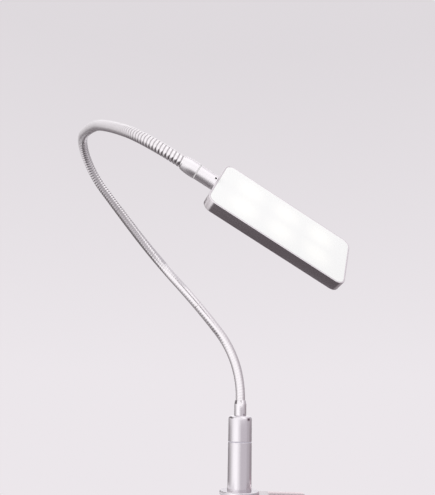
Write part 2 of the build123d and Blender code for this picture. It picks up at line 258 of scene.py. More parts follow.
# Clip spring: round spring-steel wire wound on the rivet, with a leg that bears on each arm.
def link_nodes(tree, *pairs):
    """Join node sockets, each pair from an output to an input."""
    for source, target in pairs:
        tree.links.new(source, target)


def made_mesh(piece):
    """The finished mesh of a piece's node modifier, in place of the piece that it was made from."""
    graph = bpy.context.evaluated_depsgraph_get()
    finished = piece.evaluated_get(graph)
    mesh = bpy.data.meshes.new_from_object(finished, preserve_all_data_layers=True, depsgraph=graph)
    mesh.name = piece.name
    old = piece.data
    name = piece.name
    bpy.data.objects.remove(piece)
    if isinstance(old, bpy.types.Curve):
        bpy.data.curves.remove(old)
    else:
        bpy.data.meshes.remove(old)
    made = bpy.data.objects.new(name, mesh)
    bpy.context.scene.collection.objects.link(made)
    return made


def line_object(name, points):
    """A curve through these points."""
    curve = bpy.data.curves.new(name, "CURVE")
    curve.dimensions = "3D"
    spline = curve.splines.new("POLY")
    spline.points.add(len(points) - 1)
    for spot, point in zip(spline.points, points):
        spot.co = (*point, 1)
    piece = bpy.data.objects.new(name, curve)
    bpy.context.scene.collection.objects.link(piece)
    return piece


def give_nodes(piece, tree, **values):
    """Put a geometry tree on a piece and set its named inputs."""
    modifier = piece.modifiers.new(tree.name, "NODES")
    modifier.node_group = tree
    for item in tree.interface.items_tree:
        if item.in_out == "INPUT" and item.name in values:
            modifier[item.identifier] = values[item.name]


def wire_tree():
    """Round wire along a curve, with closed ends."""
    tree = bpy.data.node_groups.new("round wire", "GeometryNodeTree")
    face = tree.interface
    face.new_socket("Line", in_out="INPUT", socket_type="NodeSocketGeometry")
    face.new_socket("Radius", in_out="INPUT", socket_type="NodeSocketFloat")
    face.new_socket("Finish", in_out="INPUT", socket_type="NodeSocketMaterial")
    face.new_socket("Wire", in_out="OUTPUT", socket_type="NodeSocketGeometry")
    start = tree.nodes.new("NodeGroupInput")
    end = tree.nodes.new("NodeGroupOutput")
    section = tree.nodes.new("GeometryNodeCurvePrimitiveCircle")
    section.inputs["Resolution"].default_value = 14
    skin = tree.nodes.new("GeometryNodeCurveToMesh")
    skin.inputs["Fill Caps"].default_value = True
    smooth = tree.nodes.new("GeometryNodeSetShadeSmooth")
    real = tree.nodes.new("GeometryNodeRealizeInstances")
    paint = tree.nodes.new("GeometryNodeSetMaterial")
    link_nodes(
        tree,
        (start.outputs["Radius"], section.inputs["Radius"]),
        (start.outputs["Line"], skin.inputs["Curve"]),
        (section.outputs["Curve"], skin.inputs["Profile Curve"]),
        (skin.outputs["Mesh"], smooth.inputs["Geometry"]),
        (smooth.outputs["Geometry"], real.inputs["Geometry"]),
        (real.outputs["Geometry"], paint.inputs["Geometry"]),
        (start.outputs["Finish"], paint.inputs["Material"]),
        (paint.outputs["Geometry"], end.inputs["Wire"]),
    )
    return tree


spring_steel = satin_material(
    "drawn spring wire", (0.5, 0.5, 0.5), (0.4, 0.4, 0.42), 1.0, 0.3, 900, (1, 1, 1), 0.00001
)
coil_radius = 4.4
coil_pitch = 2.0
upper_leg_rise = 18.0
lower_leg_drop = 26.0
coil_turn = 4 * 360 + 180 - upper_leg_rise - lower_leg_drop
coil_width = coil_pitch * coil_turn / 360
coil_steps = 160
upper_leg_length = 22
lower_leg_length = 21
wire_line = []
for k in range(coil_steps + 1):
    angle = radians(90 + upper_leg_rise + coil_turn * k / coil_steps)
    across = coil_width / 2 - coil_width * k / coil_steps
    wire_line.append(hinge + Vector((coil_radius * cos(angle), across, coil_radius * sin(angle))) * mm)
upper_leg_way = Vector((cos(radians(upper_leg_rise)), 0, sin(radians(upper_leg_rise))))
lower_leg_way = Vector((cos(radians(lower_leg_drop)), 0, -sin(radians(lower_leg_drop))))
wire_line.insert(0, wire_line[0] + upper_leg_way * upper_leg_length * mm)
wire_line.append(wire_line[-1] + lower_leg_way * lower_leg_length * mm)
spring = line_object("torsion_spring", wire_line)
give_nodes(spring, wire_tree(), Radius=0.8 * mm, Finish=spring_steel)
spring = made_mesh(spring)
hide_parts("clip_spring")
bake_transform(spring)


# Jaw pads: moulded rubber, cemented into the arms. Fine ridges across the gripping face hold on to a
# shelf's edge, and the nose at the front meets the other pad's nose.
def ridge_tree():
    """A row of half-round ridges along x."""
    tree = bpy.data.node_groups.new("grip ridges", "GeometryNodeTree")
    face = tree.interface
    face.new_socket("Pad", in_out="INPUT", socket_type="NodeSocketGeometry")
    face.new_socket("First", in_out="INPUT", socket_type="NodeSocketVector")
    face.new_socket("Pitch", in_out="INPUT", socket_type="NodeSocketVector")
    face.new_socket("Ridges", in_out="INPUT", socket_type="NodeSocketInt")
    face.new_socket("Half Length", in_out="INPUT", socket_type="NodeSocketVector")
    face.new_socket("Finish", in_out="INPUT", socket_type="NodeSocketMaterial")
    face.new_socket("Ridged Pad", in_out="OUTPUT", socket_type="NodeSocketGeometry")
    start = tree.nodes.new("NodeGroupInput")
    end = tree.nodes.new("NodeGroupOutput")
    places = tree.nodes.new("GeometryNodeMeshLine")
    opposite = tree.nodes.new("ShaderNodeVectorMath")
    opposite.operation = "SCALE"
    opposite.inputs["Scale"].default_value = -1
    bar = tree.nodes.new("GeometryNodeCurvePrimitiveLine")
    section = tree.nodes.new("GeometryNodeCurvePrimitiveCircle")
    section.inputs["Resolution"].default_value = 10
    section.inputs["Radius"].default_value = 0.45 * mm
    skin = tree.nodes.new("GeometryNodeCurveToMesh")
    skin.inputs["Fill Caps"].default_value = True
    copies = tree.nodes.new("GeometryNodeInstanceOnPoints")
    together = tree.nodes.new("GeometryNodeJoinGeometry")
    real = tree.nodes.new("GeometryNodeRealizeInstances")
    paint = tree.nodes.new("GeometryNodeSetMaterial")
    link_nodes(
        tree,
        (start.outputs["First"], places.inputs["Start Location"]),
        (start.outputs["Pitch"], places.inputs["Offset"]),
        (start.outputs["Ridges"], places.inputs["Count"]),
        (start.outputs["Half Length"], opposite.inputs[0]),
        (start.outputs["Half Length"], bar.inputs["Start"]),
        (opposite.outputs["Vector"], bar.inputs["End"]),
        (bar.outputs["Curve"], skin.inputs["Curve"]),
        (section.outputs["Curve"], skin.inputs["Profile Curve"]),
        (places.outputs["Mesh"], copies.inputs["Points"]),
        (skin.outputs["Mesh"], copies.inputs["Instance"]),
        (copies.outputs["Instances"], together.inputs["Geometry"]),
        (start.outputs["Pad"], together.inputs["Geometry"]),
        (together.outputs["Geometry"], real.inputs["Geometry"]),
        (real.outputs["Geometry"], paint.inputs["Geometry"]),
        (start.outputs["Finish"], paint.inputs["Material"]),
        (paint.outputs["Geometry"], end.inputs["Ridged Pad"]),
    )
    return tree


rubber = satin_material(
    "moulded rubber", (0.04, 0.04, 0.042), (0.028, 0.028, 0.03), 0.0, 0.62, 1400, (1, 1, 1), 0.00006
)
ridges = ridge_tree()
moulded_edge = 0.35 * mm
first_ridge = -11.4
ridge_pitch = 2.4
ridge_half_length = 15.6
upper_pad_face = 0.2
lower_pad_face = -6.2
for node, name, body, level in (
    ("upper_pad", "upper_grip_pad", "clip", upper_pad_face),
    ("lower_pad", "lower_grip_pad", "jaw", lower_pad_face),
):
    pad = softened(node, name, moulded_edge)
    give_nodes(
        pad,
        ridges,
        First=Vector((first_ridge, 0, level)) * mm,
        Pitch=Vector((ridge_pitch, 0, 0)) * mm,
        Ridges=10,
        Finish=rubber,
        **{"Half Length": Vector((0, ridge_half_length, 0)) * mm},
    )
    pad = made_mesh(pad)
    fitted(pad, body, "pad_rubber", rubber, node)


# Post foot: the round flange turned from aluminium bar, on the upper arm, held by a hollow steel stud
# and a hexagon nut under the arm.
def turned_aluminium(name, light, dark, roughness, bump):
    """Anodised aluminium with the fine lines of the turning tool."""
    tool_lines = (9000, 5000, 1)
    return satin_material(name, light, dark, 1.0, roughness, 1, tool_lines, bump, turning=True)


post_place = Matrix.Translation(Vector((30, 0, 10.5)) * mm)
aluminium = turned_aluminium("anodised aluminium", (0.83, 0.8, 0.83), (0.78, 0.745, 0.78), 0.2, 0.000004)
flange_radius = 18
flange_top = 3.2
stud_hole = 5.1
foot = [(stud_hole, 0), (flange_radius, 0, 0.25), (flange_radius, flange_top, 0.9), (stud_hole, flange_top)]
fitted(turned("post_flange", foot, post_place, 128), "clip", "post_aluminium", aluminium, "flange")
lead_bore = 3
stud_radius = 5
stud_low = -6.25
stud_top = 12.2
stud = [(lead_bore, stud_low), (stud_radius, stud_low, 0.4), (stud_radius, stud_top), (lead_bore, stud_top)]
fitted(turned("hollow_stud", stud, post_place, 48), "clip", "fixing_steel", zinc, "post_stud")
fitted(softened("post_nut", "stud_nut", 0.3 * mm), "clip", "fixing_steel", zinc, "post_nut")


# Lower post: a turned aluminium tube, satin anodised. A grey plastic washer lies in the groove at its
# top, so that the cap above it turns stiffly.
post_radius = 11
tube_bore = 8.5
collar_bore = 6.05
collar_low = 33.7
tube_top = 43.9
tube = [
    (tube_bore, flange_top),
    (post_radius, flange_top, 0.15),
    (post_radius, tube_top, 0.3),
    (collar_bore, tube_top),
    (collar_bore, collar_low),
    (tube_bore, collar_low),
]
fitted(turned("post_tube", tube, post_place, 128), "clip", "post_aluminium", aluminium, "lower_post")
grey_plastic = satin_material(
    "grey plastic", (0.74, 0.72, 0.79), (0.68, 0.66, 0.73), 0.0, 0.5, 900, (1, 1, 1), 0.00002
)
washer_bore = 6.1
washer_radius = 10.75
washer_top = 44.68
washer = [
    (washer_bore, tube_top),
    (washer_radius, tube_top),
    (washer_radius, washer_top),
    (washer_bore, washer_top),
]
swivel_washer = turned("swivel_washer", washer, post_place)
fitted(swivel_washer, "clip", "washer_plastic", grey_plastic, "friction_washer")


# Post cap: turned from the same bar, with a rounded shoulder. Its spigot runs in the tube and a spring
# ring on the spigot keeps it there.
spigot_radius = 6
spigot_low = 32.2
cap_low = 44.7
cap_top = 67.2
shoulder = 2.7
neck_socket = 4.55
socket_floor = 59.2
cap = [
    (lead_bore, spigot_low),
    (spigot_radius, spigot_low),
    (spigot_radius, cap_low),
    (post_radius, cap_low, 0.3),
    (post_radius, cap_top, shoulder),
    (neck_socket, cap_top),
    (neck_socket, socket_floor),
    (lead_bore, socket_floor),
]
fitted(turned("turning_cap", cap, post_place, 128), "post_top", "post_aluminium", aluminium, "post_cap")
painted("retaining_ring", zinc)


# Base ferrule: a bright aluminium sleeve that stands on the cap, round the neck's lower end. Its top is
# rolled down on to the hose to hold it.
bright = turned_aluminium("bright aluminium", (0.86, 0.83, 0.85), (0.8, 0.77, 0.8), 0.15, 0.000003)
sleeve_radius = 5.75
sleeve_lip = 5
sleeve_top = 81.2
sleeve = [
    (neck_socket, cap_top),
    (sleeve_radius, cap_top, 0.2),
    (sleeve_radius, 77.7, 3),
    (sleeve_lip, sleeve_top, 0.3),
    (neck_socket, sleeve_top),
]
fitted(turned("base_sleeve", sleeve, post_place), "post_top", "post_aluminium", bright, "base_ferrule")


# Gooseneck: a steel hose wound from rounded strip and chrome plated. Its turns lie tight at the foot and
# stand open towards the head, where each shows as a ridge with a groove beside it; the grooves' colour is
# darkened with painted shade. It is one continuous winding: the pieces meet between two bends.
neck_stretches = [
    (70, 42, -160),
    (60, 7, 130),
    (70, 17, 75),
    (55, 14, -85),
    (80, 111, -70),
    (60, 15, -105),
    (60, 9, -45),
    (60, 57, -40),
]
straight_end = 1.4
strip_pitch = 2.7
hidden_end = 6.0
neck_place = Matrix.Translation(Vector((30, 0, 91.7)))
neck_line = [neck_place @ Vector((0, 0, -hidden_end)), neck_place.translation.copy()]
joint_places = []
for length, bend, side in neck_stretches:
    neck_place = neck_place @ Matrix.Translation((0, 0, straight_end))
    neck_line.append(neck_place.translation.copy())
    radius = (length - 2 * straight_end) / radians(bend)
    aim = Matrix.Rotation(radians(side), 4, "Z")
    steps = ceil(length)
    for k in range(1, steps + 1):
        angle = radians(bend) * k / steps
        curved = aim @ Vector((radius * (1 - cos(angle)), 0, radius * sin(angle)))
        neck_line.append(neck_place @ curved)
    turn = aim @ Matrix.Rotation(radians(bend), 4, "Y") @ aim.inverted()
    neck_place = Matrix.Translation(neck_line[-1]) @ neck_place.to_3x3().to_4x4() @ turn
    neck_place = neck_place @ Matrix.Translation((0, 0, straight_end))
    neck_line.append(neck_place.translation.copy())
    joint_places.append(neck_place.copy())
neck_line.append(neck_place @ Vector((0, 0, hidden_end)))


def hose_tree():
    """A wound hose along a curve: a tube whose rings follow the winding's slope, ridge by ridge."""
    tree = bpy.data.node_groups.new("wound hose", "GeometryNodeTree")
    face = tree.interface
    face.new_socket("Line", in_out="INPUT", socket_type="NodeSocketGeometry")
    for name in ("First Turn", "Turns", "Rings", "Sides"):
        face.new_socket(name, in_out="INPUT", socket_type="NodeSocketInt")
    for name in ("Pitch", "Radius", "Groove Depth", "Tight Until", "Open From", "Tight Share"):
        face.new_socket(name, in_out="INPUT", socket_type="NodeSocketFloat")
    face.new_socket("Finish", in_out="INPUT", socket_type="NodeSocketMaterial")
    face.new_socket("Hose", in_out="OUTPUT", socket_type="NodeSocketGeometry")
    start = tree.nodes.new("NodeGroupInput")
    end = tree.nodes.new("NodeGroupOutput")

    def maths(operation, *values):
        node = tree.nodes.new("ShaderNodeMath")
        node.operation = operation
        for socket, value in zip(node.inputs, values):
            if isinstance(value, bpy.types.NodeSocket):
                tree.links.new(value, socket)
            else:
                socket.default_value = value
        return node.outputs[0]

    def vectors(operation, first, second):
        node = tree.nodes.new("ShaderNodeVectorMath")
        node.operation = operation
        tree.links.new(first, node.inputs[0])
        tree.links.new(second, node.inputs["Scale"] if operation == "SCALE" else node.inputs[1])
        return node.outputs["Vector"]

    ring_count = maths("MULTIPLY", start.outputs["Turns"], start.outputs["Rings"])
    sheet = tree.nodes.new("GeometryNodeMeshGrid")
    sheet.inputs["Size X"].default_value = 1
    sheet.inputs["Size Y"].default_value = 1
    link_nodes(
        tree,
        (maths("ADD", start.outputs["Sides"], 1), sheet.inputs["Vertices X"]),
        (maths("ADD", ring_count, 1), sheet.inputs["Vertices Y"]),
    )
    spot = tree.nodes.new("ShaderNodeSeparateXYZ")
    tree.links.new(tree.nodes.new("GeometryNodeInputPosition").outputs[0], spot.inputs[0])
    round_share = maths("ADD", spot.outputs["X"], 0.5)
    along_turns = maths("MULTIPLY", maths("ADD", spot.outputs["Y"], 0.5), start.outputs["Turns"])
    turn_number = maths("ADD", maths("ADD", along_turns, round_share), start.outputs["First Turn"])
    distance = maths("MULTIPLY", turn_number, start.outputs["Pitch"])
    turn_share = maths("FRACT", maths("ADD", along_turns, 0.5))
    from_groove = maths("ABSOLUTE", maths("SUBTRACT", turn_share, 0.5))
    groove_half_width = 0.22
    inside = maths("MAXIMUM", maths("SUBTRACT", 1, maths("DIVIDE", from_groove, groove_half_width)), 0)
    opening = tree.nodes.new("ShaderNodeMapRange")
    opening.interpolation_type = "SMOOTHSTEP"
    link_nodes(
        tree,
        (distance, opening.inputs["Value"]),
        (start.outputs["Tight Until"], opening.inputs["From Min"]),
        (start.outputs["Open From"], opening.inputs["From Max"]),
        (start.outputs["Tight Share"], opening.inputs["To Min"]),
    )
    groove = maths("MULTIPLY", maths("POWER", inside, 1.3), opening.outputs["Result"])
    depth = maths("MULTIPLY", groove, start.outputs["Groove Depth"])
    reach = maths("SUBTRACT", start.outputs["Radius"], depth)
    sample = tree.nodes.new("GeometryNodeSampleCurve")
    sample.mode = "LENGTH"
    sample.use_all_curves = False
    tree.links.new(start.outputs["Line"], sample.inputs["Curves"])
    tree.links.new(distance, sample.inputs["Length"])
    across = tree.nodes.new("ShaderNodeVectorMath")
    across.operation = "CROSS_PRODUCT"
    tree.links.new(sample.outputs["Tangent"], across.inputs[0])
    tree.links.new(sample.outputs["Normal"], across.inputs[1])
    angle = maths("MULTIPLY", round_share, 2 * pi)
    one_way = vectors("SCALE", sample.outputs["Normal"], maths("MULTIPLY", reach, maths("COSINE", angle)))
    other_way = vectors("SCALE", across.outputs["Vector"], maths("MULTIPLY", reach, maths("SINE", angle)))
    place = vectors("ADD", sample.outputs["Position"], vectors("ADD", one_way, other_way))
    keep = tree.nodes.new("GeometryNodeStoreNamedAttribute")
    keep.data_type = "FLOAT"
    keep.domain = "POINT"
    keep.inputs["Name"].default_value = "groove"
    move = tree.nodes.new("GeometryNodeSetPosition")
    weld = tree.nodes.new("GeometryNodeMergeByDistance")
    weld.inputs["Distance"].default_value = 0.004 * mm
    smooth = tree.nodes.new("GeometryNodeSetShadeSmooth")
    real = tree.nodes.new("GeometryNodeRealizeInstances")
    paint = tree.nodes.new("GeometryNodeSetMaterial")
    link_nodes(
        tree,
        (sheet.outputs["Mesh"], keep.inputs["Geometry"]),
        (groove, keep.inputs["Value"]),
        (keep.outputs["Geometry"], move.inputs["Geometry"]),
        (place, move.inputs["Position"]),
        (move.outputs["Geometry"], weld.inputs["Geometry"]),
        (weld.outputs["Geometry"], smooth.inputs["Geometry"]),
        (smooth.outputs["Geometry"], real.inputs["Geometry"]),
        (real.outputs["Geometry"], paint.inputs["Geometry"]),
        (start.outputs["Finish"], paint.inputs["Material"]),
        (paint.outputs["Geometry"], end.inputs["Hose"]),
    )
    return tree


def closed_ends(piece):
    """Close a tube's two open ends and turn its faces outwards."""
    shape = bmesh.new()
    shape.from_mesh(piece.data)
    rim = [edge for edge in shape.edges if edge.is_boundary]
    bmesh.ops.holes_fill(shape, edges=rim)
    bmesh.ops.recalc_face_normals(shape, faces=shape.faces)
    shape.to_mesh(piece.data)
    shape.free()


chrome = satin_material(
    "chromed strip", (0.84, 0.81, 0.83), (0.78, 0.75, 0.77), 1.0, 0.2, 600, (1, 1, 1), 0.000006
)
chrome_nodes = chrome.node_tree
# Painted shade: the chrome's colour is darkened towards (0.27, 0.25, 0.26) as deep as each groove goes,
# standing in for the shade in the grooves between the ridges.
groove_depth = chrome_nodes.nodes.new("ShaderNodeAttribute")
groove_depth.attribute_name = "groove"
painted_groove_shade = chrome_nodes.nodes.new("ShaderNodeMix")
painted_groove_shade.data_type = "RGBA"
painted_groove_shade.inputs["B"].default_value = (0.27, 0.25, 0.26, 1)
chrome_surface = chrome_nodes.nodes["Principled BSDF"]
chrome_colour = chrome_surface.inputs["Base Color"].links[0].from_socket
link_nodes(
    chrome_nodes,
    (groove_depth.outputs["Fac"], painted_groove_shade.inputs["Factor"]),
    (chrome_colour, painted_groove_shade.inputs["A"]),
    (painted_groove_shade.outputs["Result"], chrome_surface.inputs["Base Color"]),
)
hose = hose_tree()
length_so_far = hidden_end
turn_marks = [0]
for length, bend, side in neck_stretches:
    turn_marks.append(round((length_so_far + length / 2) / strip_pitch))
    length_so_far += length
turn_marks[-1] = int((length_so_far + hidden_end) / strip_pitch) - 1
turn_marks.pop(1)
for k in range(7):
    piece = line_object(f"gooseneck_{k + 1}", [point * mm for point in neck_line])
    give_nodes(
        piece,
        hose,
        Turns=turn_marks[k + 1] - turn_marks[k],
        Rings=8,
        Sides=28,
        Pitch=strip_pitch * mm,
        Radius=4.47 * mm,
        Finish=chrome,
        **{
            "First Turn": turn_marks[k],
            "Groove Depth": 0.46 * mm,
            "Tight Until": 130 * mm,
            "Open From": 260 * mm,
            "Tight Share": 0.1,
        },
    )
    piece = made_mesh(piece)
    closed_ends(piece)
    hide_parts(*([f"neck_{k + 1}"] if k < 6 else ["neck_7", "neck_8"]))
    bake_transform(piece)


# Head ferrule: a bell-mouthed sleeve on the neck's upper end, turned with the spindle that the head
# swings on. A white plastic ring lies between it and the barrel.
stem_place = joint_places[-1].copy()
stem_place.translation = stem_place.translation * mm
bell_end = 11.3
bell_floor = 8
spindle_radius = 3
spindle_end = 18.5
bell = [
    (neck_socket, 0),
    (sleeve_lip, 0, 0.15),
    (sleeve_radius, 5, 26),
    (sleeve_radius, bell_end, 0.08),
    (spindle_radius, bell_end),
    (spindle_radius, spindle_end),
    (0, spindle_end),
    (0, bell_floor),
    (neck_socket, bell_floor),
]
silky = turned_aluminium("silky aluminium", (0.86, 0.83, 0.85), (0.8, 0.77, 0.8), 0.38, 0.000003)
fitted(turned("bell_ferrule", bell, stem_place), "neck_end", "post_aluminium", silky, "head_ferrule")
white_plastic = satin_material(
    "white plastic", (0.9, 0.9, 0.89), (0.85, 0.85, 0.84), 0.0, 0.4, 900, (1, 1, 1), 0.00001
)
ring_bore = 3.1
ring_top = 12.08
ring = [
    (ring_bore, bell_end),
    (sleeve_radius, bell_end, 0.1),
    (sleeve_radius, ring_top, 0.1),
    (ring_bore, ring_top),
]
fitted(turned("stem_spacer", ring, stem_place), "neck_end", "washer_white", white_plastic, "stem_washer")
painted("stem_ring", zinc)


# Stem barrel: a turned aluminium sleeve that turns on the spindle and carries the head. A black grub
# screw near its end locks it to the head's stud.
def mark_turning(piece, place):
    """Give a piece with a turned outside its place along and out from the turning axis."""
    back = place.inverted()
    turning = piece.data.attributes.new("turning", "FLOAT_VECTOR", "POINT")
    for vert in piece.data.vertices:
        local = back @ vert.co
        turning.data[vert.index].vector = (local.z, local.xy.length, 0)


barrel_edge = 0.25 * mm
barrel = softened("stem_barrel", "swivel_barrel", barrel_edge)
mark_turning(barrel, stem_place)
fitted(barrel, "head", "post_aluminium", silky, "stem_barrel")
black_steel = satin_material(
    "black oxide steel", (0.03, 0.03, 0.03), (0.02, 0.02, 0.02), 0.6, 0.45, 900, (1, 1, 1), 0.00001
)
painted("stem_screw", black_steel)
painted("head_stud", zinc)


# Lamp head: a flat tray pressed and milled from aluminium, bead blasted and anodised, with rounded corners
# and a narrow rim round the panel.
head_length = 110
head_width = 53
head_corner = 7
stem_reach = 26.5
head_place = stem_place @ Matrix.Translation(Vector((0, 0, stem_reach + head_length / 2)) * mm)
head_axes = Matrix.Identity(4)
lit = head_place.to_3x3() @ Vector((0, 1, 0))
way_out = head_place.to_3x3() @ Vector((0, 0, 1))
upward = lit.cross(way_out)
for column, axis in enumerate((way_out, upward, lit)):
    for row in range(3):
        head_axes[row][column] = axis[row]
head_axes.translation = head_place.translation


def rounded_loop(shape, inset, level, steps=10):
    """A loop of points round a rectangle with rounded corners, inset from the head's outline."""
    smallest_corner = 0.6
    radius = max(head_corner - inset, smallest_corner)
    loop = []
    for k, (sx, sy) in enumerate(((1, 1), (-1, 1), (-1, -1), (1, -1))):
        cx = sx * (head_length / 2 - inset - radius)
        cy = sy * (head_width / 2 - inset - radius)
        for step in range(steps + 1):
            angle = radians(90 * (k + step / steps))
            point = Vector((cx + radius * cos(angle), cy + radius * sin(angle), level))
            loop.append(shape.verts.new(head_axes @ (point * mm)))
    return loop


def looped(name, profile, bottom, top):
    """A shell from loops one after another, closed at its first or last loop where asked."""
    shape = bmesh.new()
    loops = [rounded_loop(shape, inset, level) for inset, level in profile]
    for near, far in zip(loops, loops[1:]):
        for j in range(len(near)):
            i = (j + 1) % len(near)
            shape.faces.new((near[j], near[i], far[i], far[j]))
    if bottom:
        shape.faces.new(list(reversed(loops[0])))
    if top:
        shape.faces.new(loops[-1])
    bmesh.ops.recalc_face_normals(shape, faces=shape.faces)
    mesh = bpy.data.meshes.new(name)
    shape.to_mesh(mesh)
    shape.free()
    return add_piece(name, mesh, 50)


def quarter(inset, level, radius, first, last, steps=5):
    """Points of an eased edge: its middle, radius and the two directions in degrees."""
    points = []
    for k in range(steps + 1):
        angle = radians(first + (last - first) * k / steps)
        points.append((inset + radius * cos(angle), level + radius * sin(angle)))
    return points


tray_floor = -1.95
tray_wall = 3.1
panel_ledge = 1.95
panel_edge = 1.3
rim_level = 3.75
tray = [
    (5, tray_floor),
    (tray_wall, tray_floor),
    (tray_wall, panel_ledge),
    (panel_edge, panel_ledge),
    (panel_edge, 3.5),
    (1.1, 3.72),
    (0.9, rim_level),
    (0.45, rim_level),
]
tray += quarter(0.4, 3.35, 0.4, 90, 180)
tray += quarter(0.5, -4.05, 0.5, 180, 270)
blasted = satin_material(
    "bead blasted aluminium", (0.8, 0.76, 0.78), (0.74, 0.7, 0.73), 1.0, 0.24, 2600, (1, 1, 1), 0.00001
)
housing = looped("lamp_head", tray, True, True)
fitted(housing, "head", "head_aluminium", blasted, "head_housing")


# Light board: a white circuit board, bonded to the tray's floor. Two rows of three LEDs are soldered to
# it, behind the panel.
board_white = satin_material(
    "white board", (0.9, 0.9, 0.88), (0.84, 0.84, 0.82), 0.0, 0.45, 900, (1, 1, 1), 0.00001
)
phosphor = satin_material(
    "LED phosphor", (0.95, 0.83, 0.35), (0.9, 0.76, 0.28), 0.0, 0.3, 900, (1, 1, 1), 0.00001
)
painted("led_board", board_white)
painted("leds", phosphor)


# Lit panel: an opal acrylic sheet, flush with the rim, lit from behind. It glows softly all over, and a
# little more in front of each of the four corner LEDs.
panel_profile = [(panel_edge, 1.97)] + quarter(1.48, 3.55, 0.18, 180, 90, 3)
panel = looped("opal_panel", panel_profile, True, True)
panel_map = panel.data.uv_layers.new(name="panel")
into_head = head_axes.inverted()
for corner in panel.data.loops:
    local = into_head @ panel.data.vertices[corner.vertex_index].co
    panel_map.data[corner.index].uv = (local.x, local.y)
opal = satin_material(
    "lit opal panel", (0.5, 0.5, 0.5), (0.48, 0.48, 0.49), 0.0, 0.4, 900, (1, 1, 1), 0.000004
)
opal_tree = opal.node_tree
panel_uv = opal_tree.nodes.new("ShaderNodeUVMap")
panel_uv.uv_map = "panel"


def panel_maths(operation, first, second=None):
    """A vector node of the panel's material."""
    node = opal_tree.nodes.new("ShaderNodeVectorMath")
    node.operation = operation
    for socket, value in zip(node.inputs, (first, second)):
        if isinstance(value, bpy.types.NodeSocket):
            opal_tree.links.new(value, socket)
        elif value:
            socket.default_value = value
    return node


corner_led = (30 * mm, 11 * mm, 0)
one_quarter = panel_maths("ABSOLUTE", panel_uv.outputs["UV"]).outputs["Vector"]
from_corner_led = panel_maths("SUBTRACT", one_quarter, corner_led).outputs["Vector"]
from_corner_led = panel_maths("ABSOLUTE", from_corner_led).outputs["Vector"]
from_middle_led = panel_maths("ADD", one_quarter, (0, 1, 0)).outputs["Vector"]
from_led = panel_maths("MINIMUM", from_corner_led, from_middle_led).outputs["Vector"]
led_distance = panel_maths("LENGTH", from_led).outputs["Value"]
glow = opal_tree.nodes.new("ShaderNodeMapRange")
glow.interpolation_type = "SMOOTHSTEP"
glow.inputs["From Min"].default_value = 17 * mm
glow.inputs["From Max"].default_value = 1 * mm
light_colour = opal_tree.nodes.new("ShaderNodeMix")
light_colour.data_type = "RGBA"
light_colour.inputs["A"].default_value = (0.86, 0.868, 0.852, 1)
light_colour.inputs["B"].default_value = (0.985, 0.985, 0.945, 1)
opal_surface = opal_tree.nodes["Principled BSDF"]
opal_surface.inputs["Emission Strength"].default_value = 0.62
link_nodes(
    opal_tree,
    (led_distance, glow.inputs["Value"]),
    (glow.outputs["Result"], light_colour.inputs["Factor"]),
    (light_colour.outputs["Result"], opal_surface.inputs["Emission Color"]),
)
fitted(panel, "head", "opal_plastic", opal, "diffuser")


# Floor: a plain pale surface under the clip, which takes the lamp's shadow. It fades into the backdrop
# towards its rim, and the metal does not mirror it.
floor_spot = (-0.02, -0.09, -0.038)
floor_shape = bmesh.new()
bmesh.ops.create_circle(floor_shape, cap_ends=True, segments=96, radius=0.42)
bmesh.ops.translate(floor_shape, verts=floor_shape.verts, vec=floor_spot)
floor_mesh = bpy.data.meshes.new("floor")
floor_shape.to_mesh(floor_mesh)
floor_shape.free()
floor = bpy.data.objects.new("floor", floor_mesh)
bpy.context.scene.collection.objects.link(floor)
floor_paint = bpy.data.materials.new("pale floor")
floor_paint.use_nodes = True
floor_tree = floor_paint.node_tree
floor_surface = floor_tree.nodes["Principled BSDF"]
floor_surface.inputs["Base Color"].default_value = (0.8, 0.765, 0.79, 1)
floor_surface.inputs["Roughness"].default_value = 0.9
floor_surface.inputs["Emission Color"].default_value = (1, 0.956, 0.988, 1)
floor_way = floor_tree.nodes.new("ShaderNodeTexCoord")
floor_middle = floor_tree.nodes.new("ShaderNodeVectorMath")
floor_middle.operation = "DISTANCE"
floor_middle.inputs[1].default_value = floor_spot
fade = floor_tree.nodes.new("ShaderNodeMapRange")
fade.interpolation_type = "SMOOTHSTEP"
fade.inputs["From Min"].default_value = 0.16
fade.inputs["From Max"].default_value = 0.36
clear = floor_tree.nodes.new("ShaderNodeBsdfTransparent")
ray = floor_tree.nodes.new("ShaderNodeLightPath")
unseen = floor_tree.nodes.new("ShaderNodeMath")
unseen.operation = "MAXIMUM"
paler = floor_tree.nodes.new("ShaderNodeMath")
paler.operation = "MULTIPLY"
paler.inputs[1].default_value = 0.2
faded = floor_tree.nodes.new("ShaderNodeMixShader")
link_nodes(
    floor_tree,
    (floor_way.outputs["Object"], floor_middle.inputs[0]),
    (floor_middle.outputs["Value"], fade.inputs["Value"]),
    (ray.outputs["Is Camera Ray"], paler.inputs[0]),
    (paler.outputs[0], floor_surface.inputs["Emission Strength"]),
    (ray.outputs["Is Glossy Ray"], unseen.inputs[0]),
    (fade.outputs["Result"], unseen.inputs[1]),
    (unseen.outputs[0], faded.inputs[0]),
    (floor_surface.outputs[0], faded.inputs[1]),
    (clear.outputs[0], faded.inputs[2]),
    (faded.outputs[0], floor_tree.nodes["Material Output"].inputs["Surface"]),
)
floor_mesh.materials.append(floor_paint)


# Studio: a pale backdrop, a large soft light from the front left and above, and walls of several greys,
# which give the metal its bright and dark bands. Cards near the lamp grade them further: they are seen
# only as reflections.
scene = bpy.context.scene
world = bpy.data.worlds.new("studio")
scene.world = world
world.use_nodes = True
studio = world.node_tree
backdrop = studio.nodes["Background"]
way = studio.nodes.new("ShaderNodeTexCoord")
parts = studio.nodes.new("ShaderNodeSeparateXYZ")
flip = studio.nodes.new("ShaderNodeMath")
flip.operation = "MULTIPLY"
flip.inputs[1].default_value = -1
turn = studio.nodes.new("ShaderNodeMath")
turn.operation = "ARCTAN2"
turn_share = studio.nodes.new("ShaderNodeMapRange")
turn_share.inputs["From Min"].default_value = -pi
turn_share.inputs["From Max"].default_value = pi


